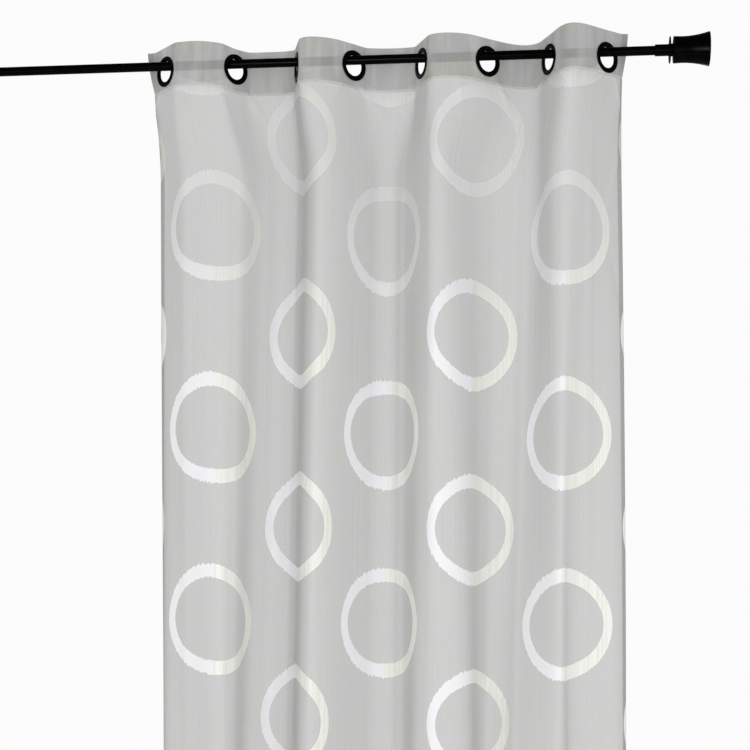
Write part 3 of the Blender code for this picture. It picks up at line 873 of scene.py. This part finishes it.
# %% Seams
level_across = np.arange(STITCH_PITCH, PANEL_WIDTH, STITCH_PITCH)
upright_depth = np.arange(HEADER_HEIGHT, HEM_TOP, STITCH_PITCH)
side_line = SIDE_HEM - SEAM_INSET
SEAMS = {
    "header_seam": (level_across, np.array([SEAM_DEPTH])),
    "foot_seam": (level_across, np.array([HEM_TOP + SEAM_INSET])),
    "left_seam": (np.array([side_line]), upright_depth),
    "right_seam": (np.array([PANEL_WIDTH - side_line]), upright_depth),
}
for name, (across, depth) in SEAMS.items():
    places, to_back = (found.reshape(-1, 3) for found in creased(across, depth))
    add_piece(name, close_up(seam_mesh(name, places, to_back)), thread)

# %% [markdown]
# ## Turned pieces
#
# Eyelet rings, rod, ferrules, discs and finials are turned or spun parts. A lathe in code takes a profile, as
# radius and height, and carries it round an axis. Real edges are never knife-sharp, so each corner of a
# profile is first rounded by a short curve.

# %% Lathe
TURN_STEPS, CORNER_STEPS = 96, 5
CRISP = math.radians(50)  # an edge that turns by more than this isn't smoothed
MOST_OF_AN_EDGE = 0.45  # no corner's curve takes up more of an edge than this


def rounded(profile, radius):
    """Replace each corner by a quadratic curve from a little before it to a little after it: the two ends
    and the corner, weighted by (1-t) squared, t squared and 2t(1-t). Ends on the axis stay as they are."""
    profile = np.array(profile, float)
    before, after = np.roll(profile, 1, axis=0) - profile, np.roll(profile, -1, axis=0) - profile
    lengths = [np.linalg.norm(v, axis=1, keepdims=True) for v in (before, after)]
    reach = np.minimum(radius, MOST_OF_AN_EDGE * np.minimum(*lengths))
    start, end = (profile + v / length * reach for v, length in zip((before, after), lengths))
    t = np.linspace(0, 1, CORNER_STEPS)[:, None]
    curve = (1 - t) ** 2 * start[:, None] + 2 * t * (1 - t) * profile[:, None] + t**2 * end[:, None]
    if profile[0, 0] > 0:
        return curve.reshape(-1, 2)
    return np.concatenate([profile[:1], curve[1:-1].reshape(-1, 2), profile[-1:]])


def add_turned(node, ending, profile, foot, axis, material):
    """Carry a profile round an axis: foot plus the axis times the height plus a circle times the radius. A
    profile that starts off the axis closes on itself."""
    axis = np.array(axis, float)
    upwards = np.array([0.0, 0.0, 1.0])
    around = circle(TURN_STEPS, upwards, np.cross(axis, upwards))
    points = np.array(foot) + profile[:, None, 1:] * axis + profile[:, None, :1] * around
    faces = grid_faces(len(profile), TURN_STEPS, wrap_rows=profile[0, 0] > 0, wrap_columns=True)
    mesh = close_up(fill_mesh(node + ending, points, faces))
    piece = add_piece(node + ending, mesh, material, [node])
    mesh.set_sharp_from_angle(angle=CRISP)
    return piece


# %% [markdown]
# ## Black finishes
#
# The eyelets are glossy moulded plastic and the rod is enamelled steel. An even black looks like a hole in
# the picture, so what makes both real is how they shine: a faint ripple in the surface, a little dust that
# dulls it in clouds, and hair-fine scuffs. Both use one group for this.

# %% Lacquer group and the two black materials
SCUFFS_ALONG = (60.0, 900.0, 900.0)  # scuffs are drawn out along the rod
DUST_DULLS, SCUFF_DULLS = 0.25, 0.12

lacquer_group, given, out = new_group(
    "lacquer", {"Place": None, "Dust": 0.5, "Ripple Scale": 900.0}, ["Dust", "Scuff", "Ripple"],
)
feed(out["Dust"], span(cloudy(given.place, 38.0, 4.0), 0.42, 0.72) * given.dust)
stretched = result("ShaderNodeVectorMath", given.place, SCUFFS_ALONG, operation="MULTIPLY")
feed(out["Scuff"], span(cloudy(stretched), 0.66, 0.74))
feed(out["Ripple"], cloudy(given.place, given.ripple_scale))


def black_finish(name, colour, dusty, roughness, dust, ripple_scale, ripple_depth, **settings):
    """Near-black lacquer: dust lightens and dulls it, scuffs dull it, and a ripple bends its reflections."""
    material, tree, shader = new_material(name, **settings)
    where = outputs(new_node("ShaderNodeTexCoord", tree=tree)).object
    worn = place_group(lacquer_group, where, dust, ripple_scale)
    feed(shader["Base Color"], blend_colours(worn.dust, colour, dusty))
    feed(shader["Roughness"], worn.dust * DUST_DULLS + roughness + worn.scuff * SCUFF_DULLS)
    feed(shader["Normal"], bump(worn.ripple, ripple_depth))
    return material


eyelet_black = black_finish(
    "black_eyelet_gloss", (0.0008, 0.0008, 0.0009), (0.003, 0.003, 0.0032), 0.2, 0.35, 700.0, 0.00002,
    Specular_IOR_Level=0.08,
)
rod_black = black_finish(
    "black_rod_enamel", (0.0005, 0.0005, 0.0006), (0.0025, 0.0025, 0.0026), 0.22, 0.4, 1100.0, 0.000015,
    Specular_IOR_Level=0.03,
)
print("black finishes share", lacquer_group.name)

# %% [markdown]
# ## Eyelets
#
# A snap eyelet is two rings that click together through the cloth, each with a domed face and a short barrel.
# The dome is a flattened half oval, so that light runs round it in one thin line.

# %% Eyelet rings
EYELET_OUTER, EYELET_INNER = 0.03375, 0.02325
EYELET_WALL, EYELET_HEIGHT, FIT = 0.0013, 0.0029, 0.0003
BELLY = 0.0009
SEAT = 0.001 + FIT  # the face's underside, from the middle of the cloth


def eyelet_profile():
    """Over the dome the radius follows the cosine of half a turn and the height its sine, flattened most at
    the outer edge. Then down the bore, which bellies in between the two rings, and back under the face."""
    angle = np.linspace(0, math.pi, 17)
    middle, half = (EYELET_OUTER + EYELET_INNER) / 2, (EYELET_OUTER - EYELET_INNER) / 2
    height = SEAT + (EYELET_HEIGHT - SEAT) * np.sin(angle) ** (0.55 + 0.35 * ease(angle / math.pi))
    dome = np.column_stack([middle + half * np.cos(angle), height])
    barrel = EYELET_INNER + EYELET_WALL
    bore = [(EYELET_INNER - BELLY * 0.7, SEAT * 0.6), (EYELET_INNER - BELLY, FIT / 2)]
    return np.concatenate([dome, bore, [(barrel, FIT / 2), (barrel, SEAT)]])


for number, (x, angle) in enumerate(zip(eyelet_x, eyelet_angle), start=1):
    to_front = np.array([math.sin(angle), -math.cos(angle), 0.0])
    for side, axis in (("front", to_front), ("back", -to_front)):
        name, foot = f"eyelet_{number}_{side}", (x, 0, -EYELET_DROP)
        add_turned(name, "_ring", eyelet_profile(), foot, axis, eyelet_black)

# %% [markdown]
# ## Rod, ferrules, discs and finials
#
# The rod is a plain tube. A ferrule closes each end and carries a stud, which holds a thin disc and the
# trumpet. The trumpet is nearly straight from its foot past a faint waist, then opens ever faster, with the
# square of the way from the waist to the mouth, which has a shallow dish.

# %% Profiles of the rod and its ends
ROD_RADIUS, ROD_WALL = 0.01, 0.0012
RIGHT_END, LEFT_END = 0.588, -0.905
FERRULE_LENGTH, FERRULE_RADIUS, FERRULE_WALL = 0.031, 0.0125, 0.004
STUD_RADIUS, STUD_LENGTH = 0.004, 0.018
DISC_RADIUS, DISC_THICK = 0.0286, 0.002
BOSS_RADIUS, BOSS_LENGTH = 0.0136, 0.0063
TRUMPET_LENGTH, TRUMPET_FOOT, TRUMPET_WAIST, TRUMPET_MOUTH = 0.0775, 0.0287, 0.028, 0.0368
COLLAR, CHAMFER, EASED = 0.0015, 0.001, 0.0003
WAIST_AT, DISH, LIP = 0.018, 0.003, 0.0016


def ferrule_profile():
    """A sleeve with chamfered ends and a low collar, its end wall, and the stud."""
    end, tip = FERRULE_LENGTH, FERRULE_LENGTH + STUD_LENGTH
    bore, floor = ROD_RADIUS + FIT, end - FERRULE_WALL + FIT
    return rounded([
        (0, tip), (STUD_RADIUS, tip), (STUD_RADIUS, end), (BOSS_RADIUS, end), (BOSS_RADIUS, end - COLLAR),
        (FERRULE_RADIUS, end - COLLAR - CHAMFER), (FERRULE_RADIUS, CHAMFER),
        (FERRULE_RADIUS - CHAMFER, 0), (bore, 0), (bore, floor), (0, floor),
    ], EASED)


def disc_profile():
    """A flat plate with eased edges."""
    bore = STUD_RADIUS + FIT
    corners = [(DISC_RADIUS, DISC_THICK), (DISC_RADIUS, 0), (bore, 0), (bore, DISC_THICK)]
    return rounded(corners, DISC_THICK / 4)


def finial_profile():
    """Boss, foot, waist and flare. At share t from the waist to the mouth the radius is the waist's plus
    the widening times t squared."""
    bore, bore_depth = STUD_RADIUS + FIT, STUD_LENGTH - DISC_THICK + FIT
    mouth, waist = BOSS_LENGTH + TRUMPET_LENGTH, BOSS_LENGTH + WAIST_AT
    t = np.linspace(1, 0, 28)
    flare = np.column_stack([
        TRUMPET_WAIST + (TRUMPET_MOUTH - TRUMPET_WAIST) * t**2, waist + (mouth - LIP / 2 - waist) * t,
    ])
    return rounded([
        (0, mouth - DISH), (TRUMPET_MOUTH - 2 * DISH, mouth - DISH), (TRUMPET_MOUTH - LIP, mouth),
        (TRUMPET_MOUTH - LIP / 4, mouth), *flare, (TRUMPET_FOOT, BOSS_LENGTH),
        (BOSS_RADIUS, BOSS_LENGTH), (BOSS_RADIUS, 0), (bore, 0), (bore, bore_depth), (0, bore_depth),
    ], 2 * EASED)


# %% Rod and its ends in the scene
inside_ferrule = FERRULE_LENGTH - FERRULE_WALL
rod_start = LEFT_END - inside_ferrule
rod_length = RIGHT_END + inside_ferrule - rod_start
bore = ROD_RADIUS - ROD_WALL
tube = rounded([(ROD_RADIUS, rod_length), (ROD_RADIUS, 0), (bore, 0), (bore, rod_length)], EASED)
add_turned("rod", "_tube", tube, (rod_start, 0, 0), (1, 0, 0), rod_black)

disc_at = FERRULE_LENGTH + FIT
END_PIECES = (
    ("ferrule", ferrule_profile(), 0.0),
    ("disc", disc_profile(), disc_at),
    ("finial", finial_profile(), disc_at + DISC_THICK + FIT),
)
for side, end, way in (("right", RIGHT_END, 1), ("left", LEFT_END, -1)):
    for name, profile, distance in END_PIECES:
        foot = (end + way * distance, 0, 0)
        add_turned(f"{name}_{side}", "_turned", profile, foot, (way, 0, 0), rod_black)
